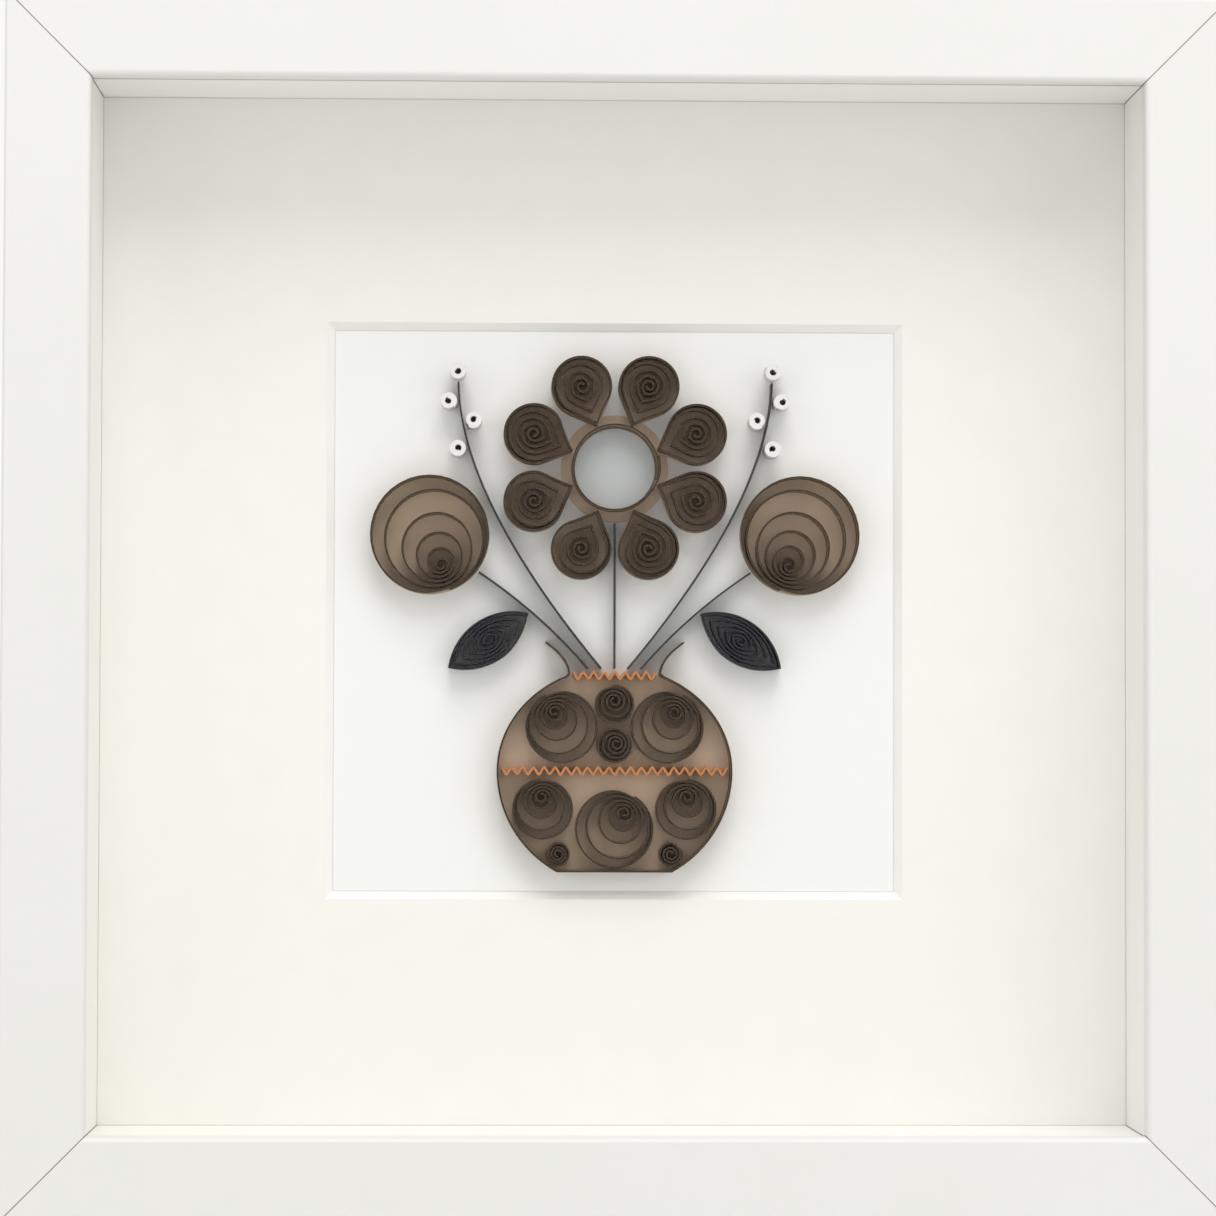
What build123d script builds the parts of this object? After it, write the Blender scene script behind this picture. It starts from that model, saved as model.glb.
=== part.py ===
from build123d import *
from math import acos, ceil, cos, hypot, pi, radians, sin, sqrt
import os

# A deep white box frame around a picture of quilled paper: strips of paper that are rolled, pinched or
# crimped and stand on edge on a white card, as a vase of flowers. Millimetres, +Z up. The picture faces -Y,
# and the origin lies under the middle of the frame, on the surface that the frame stands on.

# Frame rails
frame_side = 250.0
frame_depth = 45.0
face_width = 17.5
lip_thickness = 4.5
lip_radius = 1.2
outer_radius = 0.8
rebate_width = 7.0

# Contents of the rebate, from the lip backwards
rebate_fit = 0.3
glazing_thickness = 2.0
spacer_depth = 25.0
spacer_setback = 0.5
mat_thickness = 1.6
bevel_angle = 45.0
card_thickness = 1.0
board_thickness = 3.0

# Fastenings at the back
tab_width = 8.0
tab_thickness = 0.6
tab_bite = 5.0
tab_reach = 9.0
tab_spacing = 130.0
tab_corner = 2.0
nail_leg = 6.0
nail_thickness = 0.6
nail_height = 8.0
nail_inset = 3.5
hanger_length = 50.0
hanger_width = 11.0
hanger_thickness = 0.8
hanger_foot = 9.0
hanger_ramp = 2.0
hanger_rise = 2.4
hanger_drop = 38.0
tooth_pitch = 2.6
tooth_depth = 1.8
rivet_radius = 1.5
rivet_fit = 0.1
rivet_head_radius = 2.8
rivet_head_height = 1.1
rivet_top_radius = 2.0

# Paper strips and how they are rolled
strip_thickness = 0.4
turn_gap = 0.2
core_radius = 0.5
core_shift = 0.8
core_turn = 137.5
facet_error = 0.26
join_facets = 2
floor_thickness = 0.5
glue_gap = 0.3
motif_margin = 4.2

# Vase
belly_level = 21.0
neck_rise = 20.0
mouth_rise = 7.0
base_half = 12.0
belly_half = 24.5
neck_half = 9.5
rim_half = 14.5
wall_height = 6.0
wall_steps = 10
rim_steps = 3
coil_height = 5.0
coil_gap = 0.4
coil_limit = 8.4
coil_turns = 3.0
# Places of the coils below and above the belly band: share of the half width there, share of the height
lower_coils = ((0.0, 0.42), (0.65, 0.62), (0.70, 0.17))
upper_coils = ((0.50, 0.46), (0.0, 0.27), (0.0, 0.70))

# Crimped bands
band_height = 4.5
crimp_swing = 1.6
crimp_pitch = 2.2

# Stems
stem_height = 4.0
stem_pitch = 2.8
stem_rise = 12.0
stem_bow = 1.5
stem_steps = 8

# Main bloom
ring_radius = 9.0
ring_height = 5.5
disc_thickness = 0.8
petal_count = 8
petal_length = 15.0
petal_radius = 6.2
petal_height = 5.0
petal_turns = 2.0
hub_margin = 1.6

# Side blooms, sprigs, leaves and buds
side_radius = 12.5
side_turns = 4.0
side_angle = 20.0
side_lean = 250.0
bloom_gap = 4.0
sprig_reach = 33.0
sprig_lift = 18.0
bud_radius = 1.8
bud_hole = 0.5
bud_height = 6.5
bud_sides = 8
bud_shares = (0.92, 0.83, 0.74)
leaf_length = 20.0
leaf_half_width = 4.4
leaf_turns = 2.5
leaf_share = 0.55
leaf_clear = 0.8
leaf_angle = -34.0

# Levels that follow from the sizes above
wall_width = face_width - rebate_width
content_side = frame_side - 2 * (wall_width + rebate_fit)
front_y = -frame_depth / 2
back_y = frame_depth / 2
glazing_y = front_y + lip_thickness
spacer_y = glazing_y + glazing_thickness
mat_y = spacer_y + spacer_depth
card_y = mat_y + mat_thickness
board_y = card_y + card_thickness
board_back_y = board_y + board_thickness
centre_z = frame_side / 2

neck_level = belly_level + neck_rise
vase_height = neck_level + mouth_rise
turn_room = strip_thickness + turn_gap
half_strip = strip_thickness / 2
band_half = crimp_swing / 2 + strip_thickness
petal_tip = ring_radius + half_strip + glue_gap + half_strip
hub_radius = petal_tip + hub_margin
bloom_radius = petal_tip + petal_length + half_strip
motif_height = vase_height + stem_rise + 2 * bloom_radius
window_side = motif_height + 2 * motif_margin
base_v = -motif_height / 2 + half_strip
neck_v = base_v + neck_level
bloom_v = motif_height / 2 - bloom_radius

# The picture's plane: u to the right and v up from the middle of the window, out of the card towards -Y
picture = Plane(origin=(0, card_y, centre_z), x_dir=(1, 0, 0), z_dir=(0, -1, 0))
frame_axis = Axis((0, 0, centre_z), (0, 1, 0))
side_names = ("bottom", "left", "top", "right")

parts = {}


def slab(side, front, back):
    """A square sheet between two depths, on the frame's middle."""
    return Pos(0, (front + back) / 2, centre_z) * Box(side, back - front, side)


def mitred(profile):
    """The bottom bar of a frame with this (y, z) section, cut at 45 degrees at both ends."""
    bar = extrude(Plane.YZ * profile, amount=frame_side, both=True)
    corner = frame_side / 2
    wedge = make_face(Polyline((-corner, 0), (corner, 0), (0, corner), close=True))
    return bar & extrude(Plane.XZ * wedge, amount=frame_depth, both=True)


def around(bar, prefix):
    """Four copies of a bottom bar, one for each side of the frame."""
    for turn, name in enumerate(side_names):
        parts[f"{prefix}_{name}"] = bar.rotate(frame_axis, 90 * turn)


def quarter_turns(pieces):
    """The given solids repeated on all four sides of the frame."""
    return [piece.rotate(frame_axis, 90 * turn) for turn in range(4) for piece in pieces]


# Fastenings of one side: two tabs on the back board, and a V-nail across the mitre at its left end
def side_tab(x):
    middle = wall_width + (tab_reach - tab_bite) / 2
    tab = Box(tab_width, tab_thickness, tab_bite + tab_reach)
    tab = Pos(x, board_back_y + tab_thickness / 2, middle) * tab
    free_end = tab.edges().filter_by(Axis.Y).group_by(Axis.Z)[-1]
    return chamfer(free_end, tab_corner)


def v_nail():
    leg, wide = nail_leg, nail_thickness
    bent = Polyline((0, 0), (leg, 0), (leg, wide), (wide, wide), (wide, leg), (0, leg), close=True)
    left = nail_inset - frame_side / 2
    corner = Plane(origin=(left, back_y, nail_inset), x_dir=(1, 0, 0), z_dir=(0, -1, 0))
    return extrude(corner * make_face(bent), amount=nail_height)


tabs = quarter_turns([side_tab(x) for x in (-tab_spacing / 2, tab_spacing / 2)])
nails = quarter_turns([v_nail()])
parts["retaining_tabs"] = Compound(children=tabs)
parts["corner_v_nails"] = Compound(children=nails)


# Rails: a flat face with a softened lip, and a wall behind it that leaves the rebate open to the back
def rail():
    section = make_face(
        Polyline(
            (front_y, 0),
            (back_y, 0),
            (back_y, wall_width),
            (glazing_y, wall_width),
            (glazing_y, face_width),
            (front_y, face_width),
            close=True,
        )
    )
    lip_edge = section.vertices().sort_by_distance((front_y, face_width, 0))[0]
    section = fillet(lip_edge, lip_radius)
    outer_edge = section.vertices().sort_by_distance((front_y, 0, 0))[0]
    section = fillet(outer_edge, outer_radius)
    bar = mitred(section)
    for fastening in tabs + nails:
        bar -= fastening
    return bar


around(rail(), "frame_rail")


# Spacer strips stand in the rebate, a little behind the lip's edge
def spacer():
    inner, outer = face_width - spacer_setback, wall_width + rebate_fit
    section = Rectangle(spacer_depth, inner - outer)
    return mitred(Pos(spacer_y + spacer_depth / 2, (inner + outer) / 2) * section)


around(spacer(), "spacer")


# Sheets: glazing, mat with its bevelled window, picture card and back board
def window_mat():
    window = picture * Rectangle(window_side, window_side)
    opening = extrude(window, amount=mat_thickness, taper=-bevel_angle)
    return slab(content_side, mat_y, card_y) - opening


parts["glazing_sheet"] = slab(content_side, glazing_y, spacer_y)
parts["window_mat"] = window_mat()
parts["picture_card"] = slab(content_side, card_y, board_y)


# Hanger: a strip with two feet riveted to the board and a raised, toothed middle
hanger_z = frame_side - hanger_drop
rivet_x = (hanger_length - hanger_foot) / 2


def rivet_holes(depth):
    """Drills for both rivets, as long as the given depth and centred on the board's back face."""
    hole = Cylinder(rivet_radius + rivet_fit, 2 * depth)
    return [Pos(x, board_back_y, hanger_z) * Rot(90, 0, 0) * hole for x in (-rivet_x, rivet_x)]


def sawtooth_hanger():
    half, foot = hanger_length / 2, hanger_length / 2 - hanger_foot
    level = [(-half, 0), (-foot, 0), (hanger_ramp - foot, hanger_rise)]
    level += [(-x, y) for x, y in reversed(level)]
    outline = level + [(x, y + hanger_thickness) for x, y in reversed(level)]
    bent = Plane((0, board_back_y, hanger_z)) * make_face(Polyline(*outline, close=True))
    plate = extrude(bent, amount=hanger_width / 2, both=True)
    teeth_half = foot - hanger_ramp
    teeth = int(2 * teeth_half / tooth_pitch)
    notch = make_face(Polyline((-tooth_pitch / 2, 0), (tooth_pitch / 2, 0), (0, tooth_depth), close=True))
    for tooth in range(teeth):
        x = (tooth - (teeth - 1) / 2) * tooth_pitch
        under = Plane((x, board_back_y, hanger_z - hanger_width / 2), x_dir=(1, 0, 0), z_dir=(0, -1, 0))
        plate -= extrude(under * notch, amount=frame_depth, both=True)
    for hole in rivet_holes(hanger_rise):
        plate -= hole
    return plate


def hanger_rivet(x):
    shank_length = hanger_thickness + board_thickness
    shank = Pos(0, 0, hanger_thickness - shank_length / 2) * Cylinder(rivet_radius, shank_length)
    head = Cone(rivet_head_radius, rivet_top_radius, rivet_head_height)
    head = Pos(0, 0, hanger_thickness + rivet_head_height / 2) * head
    return Pos(x, board_back_y, hanger_z) * Rot(-90, 0, 0) * (shank + head)


board = slab(content_side, board_y, board_back_y)
for drill in rivet_holes(board_thickness):
    board -= drill
parts["back_board"] = board
parts["sawtooth_hanger"] = sawtooth_hanger()
parts["hanger_rivets"] = Compound(children=[hanger_rivet(x) for x in (-rivet_x, rivet_x)])


# Paper strips: paths of (u, v) points, given a thickness and stood on edge
def facets(radius, tips=1):
    """The facets in one turn of this radius: about what the facet error asks, and even between tips."""
    return 2 * tips * round(pi / acos(1 - facet_error / radius) / 2 / tips)


def edge_lines(path, closed):
    """Both sides of a strip whose middle follows the path, with mitred corners."""
    count = len(path)
    left, right = [], []
    for i, (u, v) in enumerate(path):
        before = path[i - 1] if closed or i else path[0]
        after = path[(i + 1) % count] if closed or i + 1 < count else path[i]
        ways = []
        for (ua, va), (ub, vb) in ((before, (u, v)), ((u, v), after)):
            length = hypot(ub - ua, vb - va)
            if length:
                ways.append(((va - vb) / length, (ub - ua) / length))
        (na, ma), (nb, mb) = ways[0], ways[-1]
        spread = half_strip / (1 + na * nb + ma * mb)
        left.append((u + spread * (na + nb), v + spread * (ma + mb)))
        right.append((u - spread * (na + nb), v - spread * (ma + mb)))
    return left, right


def flat(outline):
    return make_face(Polyline(*outline, close=True))


def strip(path, height, lift=0.0, closed=False):
    """A paper strip on edge, on the card or on a floor that lifts it."""
    left, right = edge_lines(path, closed)
    if closed:
        outer, inner = sorted((flat(left), flat(right)), key=lambda face: -face.area)
        section = outer - inner
    else:
        section = flat(left + right[::-1])
    return extrude(picture * Pos(0, 0, lift) * section, amount=height)


def rolled(reach, turns, count, join=0.0):
    """The path of a strip rolled outwards from its core until it lies along an outline.

    reach(angle) is how far the outline lies from the core, and count is the facets in a turn.
    """
    step = 2 * pi / count
    loose = round(turns * count)
    path = []
    for i in range(loose + 1):
        angle = join + (i - loose) * step
        radius = core_radius + (reach(angle) - turn_room - core_radius) * i / loose
        path.append((radius * cos(angle), radius * sin(angle)))
    for i in range(1, count + 1):
        angle = join + i * step
        radius = reach(angle) - turn_room * max(0, 1 - i / join_facets)
        path.append((radius * cos(angle), radius * sin(angle)))
    return path


def placed(path, u, v, turn=0.0, mirror=False):
    """A path turned by an angle in degrees, mirrored if asked, and moved to (u, v)."""
    c, s = cos(radians(turn)), sin(radians(turn))
    way = -1 if mirror else 1
    return [(u + way * (c * x - s * y), v + s * x + c * y) for x, y in path]


def coil_outline(reach, count):
    """The outline that a coil fills, as points around its core."""
    angles = [2 * pi * i / count for i in range(count)]
    return [(reach(angle) * cos(angle), reach(angle) * sin(angle)) for angle in angles]


def grown(outline):
    """An outline moved out by half a strip, to carry the strip that follows it."""
    return max(edge_lines(outline, True), key=lambda line: flat(line).area)


def round_coil(radius, turns, lean):
    """The path of a closed loose coil with its core pushed to one side, towards the lean angle."""
    outer = radius - half_strip
    room = outer - turn_room - core_radius
    turns = min(turns, room / turn_room)
    shift = core_shift * (room - turns * turn_room)
    lean = radians(lean)

    def reach(angle):
        return sqrt(outer**2 - (shift * sin(angle - lean)) ** 2) - shift * cos(angle - lean)

    return placed(rolled(reach, turns, facets(radius)), shift * cos(lean), shift * sin(lean))


# Vase: an outline with an elliptic body and a flared mouth
def half_width(level):
    """The vase's half width at a level above its base, to the middle of its wall."""
    if level > neck_level:
        flare = (level - neck_level) / mouth_rise
        return neck_half + (rim_half - neck_half) * flare**2
    end_half, end_level = (base_half, 0.0) if level < belly_level else (neck_half, neck_level)
    tall = abs(end_level - belly_level) / sqrt(1 - (end_half / belly_half) ** 2)
    return belly_half * sqrt(1 - ((level - belly_level) / tall) ** 2)


def vase_line(top, steps):
    """Points down the left side, over the base and up the right side, as far as a level."""
    eased = [(1 - cos(pi * i / steps)) / 2 for i in range(steps + 1)]
    levels = [belly_level * share for share in eased]
    levels += [belly_level + neck_rise * share for share in eased[1:]]
    levels += [neck_level + mouth_rise * i / rim_steps for i in range(1, rim_steps + 1)]
    side = [(half_width(level), base_v + level) for level in levels if level <= top]
    return [(-u, v) for u, v in reversed(side)] + side


def vase_floor():
    inside = min(edge_lines(vase_line(neck_level, wall_steps), True), key=lambda line: flat(line).area)
    return extrude(picture * flat(inside), amount=floor_thickness)


parts["vase_wall"] = strip(vase_line(vase_height, wall_steps), wall_height)
parts["vase_floor"] = vase_floor()


# Crimped bands across the vase at its belly and its neck
def crimped(level):
    half = min(half_width(level + off) for off in (-band_half, 0, band_half)) - strip_thickness - glue_gap
    folds = 2 * int(2 * half / crimp_pitch)
    step = 2 * half / folds
    path = [(i * step - half, base_v + level + crimp_swing / 2 * (-1) ** i) for i in range(folds + 1)]
    return strip(path, band_height, floor_thickness)


parts["belly_band"] = crimped(belly_level)
parts["neck_band"] = crimped(neck_level)


# Coils in the vase: each is as wide as the room between the walls, the bands and the coils before it
def room_for(u, level, before):
    wall = min(hypot(u - x, base_v + level - v) for x, v in wall_points) - half_strip
    bands = min(abs(level - belly_level), abs(neck_level - level)) - band_half
    others = [hypot(u - x, level - h) - radius for x, h, radius in before]
    return min([wall, bands, level - half_strip, coil_limit + coil_gap] + others) - coil_gap


wall_points = vase_line(vase_height, wall_steps * wall_steps)
coils = []
for places, low, high in ((lower_coils, 0.0, belly_level), (upper_coils, belly_level, neck_level)):
    for across, up in places:
        level = low + up * (high - low)
        u = across * half_width(level)
        radius = room_for(u, level, coils)
        path = round_coil(radius, coil_turns, core_turn * up)
        for way in (1, -1) if across else (1,):
            coils.append((way * u, level, radius))
            coil_path = placed(path, way * u, base_v + level, mirror=way < 0)
            parts[f"vase_coil_{len(coils)}"] = strip(coil_path, coil_height, floor_thickness)


# Main bloom: a pale disc inside a ring, and pinched petals around it on a scalloped floor
def petal_reach(angle):
    """The outline of a petal seen from the middle of its round end, with its tip at the angle pi."""
    off = abs((angle + pi) % (2 * pi) - pi) - (pi - acos(petal_radius / (petal_length - petal_radius)))
    return petal_radius / cos(off) if off > 0 else petal_radius


def on_petal(path, number):
    """A path around a petal's round end, moved to that petal's place."""
    turn = 360 * (number + 0.5) / petal_count
    far = petal_tip + petal_length - petal_radius
    return placed(path, far * cos(radians(turn)), bloom_v + far * sin(radians(turn)), turn)


def circle_line(radius, u, v):
    count = facets(radius)
    return placed(coil_outline(lambda angle: radius, count), u, v)


petal_facets = facets(petal_radius)
petal_path = rolled(petal_reach, petal_turns, petal_facets)
bloom_floor = flat(circle_line(hub_radius, 0, bloom_v))
for number in range(petal_count):
    parts[f"petal_{number + 1}"] = strip(on_petal(petal_path, number), petal_height, floor_thickness)
    bloom_floor += flat(grown(on_petal(coil_outline(petal_reach, petal_facets), number)))
parts["bloom_floor"] = extrude(picture * bloom_floor, amount=floor_thickness)
on_bloom_floor = picture * Pos(0, 0, floor_thickness)
parts["bloom_ring"] = strip(circle_line(ring_radius, 0, bloom_v), ring_height, floor_thickness, closed=True)
disc_line = circle_line(ring_radius - half_strip - glue_gap, 0, bloom_v)
parts["bloom_disc"] = extrude(on_bloom_floor * flat(disc_line), amount=disc_thickness)


# Stems on edge: from the neck band to the main bloom, the side blooms and the sprigs between them
def bent(start, control, end):
    """Points on the curve that leaves start towards control and arrives at end from it."""
    shares = [i / stem_steps for i in range(stem_steps + 1)]
    return [tuple(along(start, control, end, share)[:2]) for share in shares]


def along(start, control, end, share):
    """A point on that curve, and its direction there."""
    rest = 1 - share
    point = [rest**2 * a + 2 * rest * share * b + share**2 * c for a, b, c in zip(start, control, end)]
    way = [rest * (b - a) + share * (c - b) for a, b, c in zip(start, control, end)]
    length = hypot(*way)
    return point[0], point[1], way[0] / length, way[1] / length


def stem_start(number):
    return number * stem_pitch, neck_v + band_half + glue_gap


gap_u, gap_v = cos(radians(side_angle)), -sin(radians(side_angle))
side_far = bloom_radius + bloom_gap + side_radius
side_u, side_v = side_far * gap_u, bloom_v + side_far * gap_v
stem_far = hypot(side_u, side_v - neck_v) / (side_radius + half_strip + glue_gap)
side_end = (side_u - side_u / stem_far, side_v - (side_v - neck_v) / stem_far)
side_start = stem_start(2)
side_control = (
    (side_start[0] + side_end[0]) / 2 - stem_bow,
    (side_start[1] + side_end[1]) / 2 + stem_bow,
)
side_stem = (side_start, side_control, side_end)

pass_far = bloom_radius + bloom_gap / 2
sprig_end = (sprig_reach, bloom_v + sprig_lift)
sprig_control = (
    2 * pass_far * gap_u - (stem_start(1)[0] + sprig_end[0]) / 2,
    2 * (bloom_v + pass_far * gap_v) - (stem_start(1)[1] + sprig_end[1]) / 2,
)
sprig = (stem_start(1), sprig_control, sprig_end)

centre_stem = [stem_start(0), (0, bloom_v - hub_radius - glue_gap)]
parts["stem_centre"] = strip(centre_stem, stem_height)


# Leaves and buds: pinched coils that lean off the side stems, and tight ring coils along the sprigs
def leaf_reach(angle):
    """The outline of a leaf seen from its middle, with its tips at the angles 0 and pi."""
    bow = ((leaf_length / 2) ** 2 + leaf_half_width**2) / (2 * leaf_half_width)
    drop = (bow - leaf_half_width) * abs(sin(angle))
    return sqrt(drop**2 + bow**2 - (bow - leaf_half_width) ** 2) - drop


def bud(u, v):
    ring = RegularPolygon(bud_radius, bud_sides) - RegularPolygon(bud_hole, bud_sides)
    return extrude(picture * Pos(u, v) * ring, amount=bud_height)


def bud_places_on(curve):
    """Centres of the buds: one beyond the sprig's end, the others on alternate sides of it."""
    u, v, du, dv = along(*curve, 1)
    centres = [(u + du * (bud_radius + glue_gap), v + dv * (bud_radius + glue_gap))]
    off = half_strip + glue_gap + bud_radius
    for i, share in enumerate(bud_shares):
        u, v, du, dv = along(*curve, share)
        side = off * (-1) ** i
        centres.append((u + dv * side, v - du * side))
    return centres


leaf_far = leaf_clear + leaf_length / 2
leaf_u, leaf_v = along(*side_stem, leaf_share)[:2]
leaf_u += leaf_far * cos(radians(leaf_angle))
leaf_v += leaf_far * sin(radians(leaf_angle))
leaf_path = rolled(leaf_reach, leaf_turns, facets(2 * leaf_half_width, tips=2), pi / 2)
leaf_path = placed(leaf_path, leaf_u, leaf_v, leaf_angle)
side_path = placed(round_coil(side_radius, side_turns, side_lean), side_u, side_v)
side_line = circle_line(side_radius, side_u, side_v)


def add_side(hand, mirror):
    """The pieces on one side of the main bloom: drawn on the right, mirrored for the left."""
    side_stem_path, sprig_path, floor_line, coil_path, leaf, buds = (
        placed(path, 0, 0, mirror=mirror)
        for path in (bent(*side_stem), bent(*sprig), side_line, side_path, leaf_path, bud_places_on(sprig))
    )
    parts[f"stem_side_{hand}"] = strip(side_stem_path, stem_height)
    parts[f"stem_sprig_{hand}"] = strip(sprig_path, stem_height)
    parts[f"side_floor_{hand}"] = extrude(picture * flat(floor_line), amount=floor_thickness)
    parts[f"side_bloom_{hand}"] = strip(coil_path, petal_height, floor_thickness)
    parts[f"leaf_{hand}"] = strip(leaf, petal_height)
    for i, (u, v) in enumerate(buds):
        parts[f"bud_{hand}_{i + 1}"] = bud(u, v)


add_side("right", False)
add_side("left", True)


os.makedirs("parts", exist_ok=True)
for name, shape in parts.items():
    export_step(shape, f"parts/{name}.step")
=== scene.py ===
# %% [markdown]
# # A quilled picture in a deep white frame
#
# Quilling is the craft of rolling narrow strips of paper into coils, pinching or crimping them, and
# gluing them on edge to a card. This lesson dresses a plain CAD model of such a picture: it rolls the
# paper strips again with smooth curves and more turns, softens the edges of the frame, and gives every
# surface a finish. The CAD model comes in as a fixed frame in metres, and nothing in it is moved.

# %% Load the CAD model
from math import acos, asin, cos, hypot, pi, radians, sin, sqrt

import bpy
from mathutils import Matrix, Vector


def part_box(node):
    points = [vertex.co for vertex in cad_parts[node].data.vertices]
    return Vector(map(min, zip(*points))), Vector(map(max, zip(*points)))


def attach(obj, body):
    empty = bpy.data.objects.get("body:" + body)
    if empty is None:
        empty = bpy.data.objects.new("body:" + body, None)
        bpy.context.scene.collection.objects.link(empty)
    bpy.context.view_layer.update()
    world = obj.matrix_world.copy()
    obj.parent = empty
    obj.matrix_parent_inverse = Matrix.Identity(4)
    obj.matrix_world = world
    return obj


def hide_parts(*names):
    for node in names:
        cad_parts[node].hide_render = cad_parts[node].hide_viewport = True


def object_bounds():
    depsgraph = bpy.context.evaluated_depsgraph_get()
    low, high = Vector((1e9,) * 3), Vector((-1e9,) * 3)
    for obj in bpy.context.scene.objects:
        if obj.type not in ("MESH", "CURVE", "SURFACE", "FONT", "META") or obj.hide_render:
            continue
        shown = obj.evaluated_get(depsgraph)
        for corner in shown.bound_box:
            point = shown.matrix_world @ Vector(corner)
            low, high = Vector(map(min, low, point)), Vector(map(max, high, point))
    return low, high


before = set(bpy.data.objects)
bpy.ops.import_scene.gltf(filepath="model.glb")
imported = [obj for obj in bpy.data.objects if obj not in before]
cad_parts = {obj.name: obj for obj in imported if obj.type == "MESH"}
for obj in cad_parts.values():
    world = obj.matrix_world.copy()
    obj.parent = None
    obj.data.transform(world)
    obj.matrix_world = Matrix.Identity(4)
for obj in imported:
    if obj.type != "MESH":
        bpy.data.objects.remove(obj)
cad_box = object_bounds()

print("CAD nodes:", len(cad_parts), "box in metres:", [list(corner) for corner in cad_box])

# %% [markdown]
# ## Tools for modelling
#
# Blender's operators act on whatever is selected, and the CAD nodes come in selected. So every step first
# lets go of everything and then picks the one piece that it works on. A modifier is added, set and
# applied in one go, so that a finished piece is a plain mesh.

# %% Pick a piece, run a modifier, smooth the shading
mm = 0.001


def let_go():
    if bpy.context.object and bpy.context.object.mode != "OBJECT":
        bpy.ops.object.mode_set(mode="OBJECT")
    bpy.ops.object.select_all(action="DESELECT")


def pick(piece):
    let_go()
    piece.select_set(True)
    bpy.context.view_layer.objects.active = piece


def run_modifier(piece, kind, **settings):
    pick(piece)
    modifier = piece.modifiers.new(kind.lower(), kind)
    for name, value in settings.items():
        setattr(modifier, name, value)
    bpy.ops.object.modifier_apply(modifier=modifier.name)


def smooth(piece, angle=35):
    """Smooth shading over small angles; weighted normals keep the large faces flat."""
    pick(piece)
    bpy.ops.object.shade_smooth_by_angle(angle=radians(angle))
    run_modifier(piece, "WEIGHTED_NORMAL", keep_sharp=True)


def soften(piece, width, segments=2, angle=40):
    """A small round on every edge that is sharper than the angle."""
    run_modifier(
        piece, "BEVEL", width=width, segments=segments, limit_method="ANGLE", angle_limit=radians(angle)
    )


# %% [markdown]
# A CAD node's mesh is loose triangles. A piece that only needs softer edges could be modelled again, but
# a copy of that mesh keeps its exact size: its doubled points are merged, the lines across its flat faces
# are dissolved, and its edges get a small round, because no real edge is perfectly sharp.

# %% Dress a copy of a CAD node
def copy_node(node):
    piece = bpy.data.objects.new(node + "_dressed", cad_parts[node].data.copy())
    bpy.context.scene.collection.objects.link(piece)
    piece.data.materials.clear()
    pick(piece)
    bpy.ops.object.mode_set(mode="EDIT")
    bpy.ops.mesh.select_all(action="SELECT")
    bpy.ops.mesh.remove_doubles(threshold=1e-6)
    bpy.ops.mesh.dissolve_limited(angle_limit=radians(0.5))
    bpy.ops.object.mode_set(mode="OBJECT")
    bpy.ops.mesh.customdata_custom_splitnormals_clear()
    return piece


def place(piece, node, finish):
    """The piece stands for its CAD node, rides with it and takes its finish."""
    piece.data.materials.clear()
    piece.data.materials.append(finish)
    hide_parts(node)
    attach(piece, "root")


def dress(node, finish, round_width, segments=2):
    """A copy of the node with rounded edges, in place and finished."""
    piece = copy_node(node)
    soften(piece, round_width * mm, segments)
    smooth(piece)
    place(piece, node, finish)
    print(node, "faces:", len(piece.data.polygons))
    return piece


# %% [markdown]
# ## Node helpers
#
# A material is a small graph of nodes. It could be drawn by hand in the shader editor, but a script can
# be read and run again. These helpers add a node each, set or link its inputs, and hand back its output.

# %% Add nodes
def add(tree, kind, *links, **settings):
    """A node with its settings; each link is (input name or number, value or output socket)."""
    node = tree.nodes.new("ShaderNode" + kind)
    for name, value in settings.items():
        setattr(node, name, value)
    for socket, value in links:
        if isinstance(value, bpy.types.NodeSocket):
            tree.links.new(value, node.inputs[socket])
        else:
            node.inputs[socket].default_value = value
    return node


def maths(tree, operation, a, b=0.0):
    return add(tree, "Math", (0, a), (1, b), operation=operation).outputs[0]


def between(tree, value, low, high, to_low=0.0, to_high=1.0):
    """The value taken from one range to another, and held at its ends."""
    links = ((0, value), (1, low), (2, high), (3, to_low), (4, to_high))
    return add(tree, "MapRange", *links, clamp=True).outputs[0]


def mixed(tree, share, a, b, blend="MIX"):
    links = ((0, share), (6, a), (7, b))
    return add(tree, "Mix", *links, data_type="RGBA", blend_type=blend).outputs[2]


def toned(tree, colour, level):
    """The colour times a level, the same in all three channels."""
    grey = add(tree, "CombineXYZ", *((axis, level) for axis in range(3))).outputs[0]
    return mixed(tree, 1.0, colour, grey, "MULTIPLY")


def noise(tree, scale, detail=2.0, **more):
    """A noise pattern on Object coordinates, in spots per metre."""
    where = add(tree, "TexCoord").outputs["Object"]
    links = (("Vector", where), ("Scale", scale), ("Detail", detail), *more.items())
    return add(tree, "TexNoise", *links).outputs[0]


# %% [markdown]
# A material starts with a Principled BSDF. What several materials share goes into a node group, whose
# inputs and outputs are named like those of any other node.

# %% Start materials and groups
def new_finish(name):
    finish = bpy.data.materials.new(name)
    finish.use_nodes = True
    return finish, finish.node_tree, finish.node_tree.nodes["Principled BSDF"]


def new_group(name, inputs, outputs):
    group = bpy.data.node_groups.new(name, "ShaderNodeTree")
    for label, kind, value in inputs:
        group.interface.new_socket(label, in_out="INPUT", socket_type=kind).default_value = value
    for label, kind in outputs:
        group.interface.new_socket(label, in_out="OUTPUT", socket_type=kind)
    return group, group.nodes.new("NodeGroupInput").outputs, group.nodes.new("NodeGroupOutput").inputs


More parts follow.
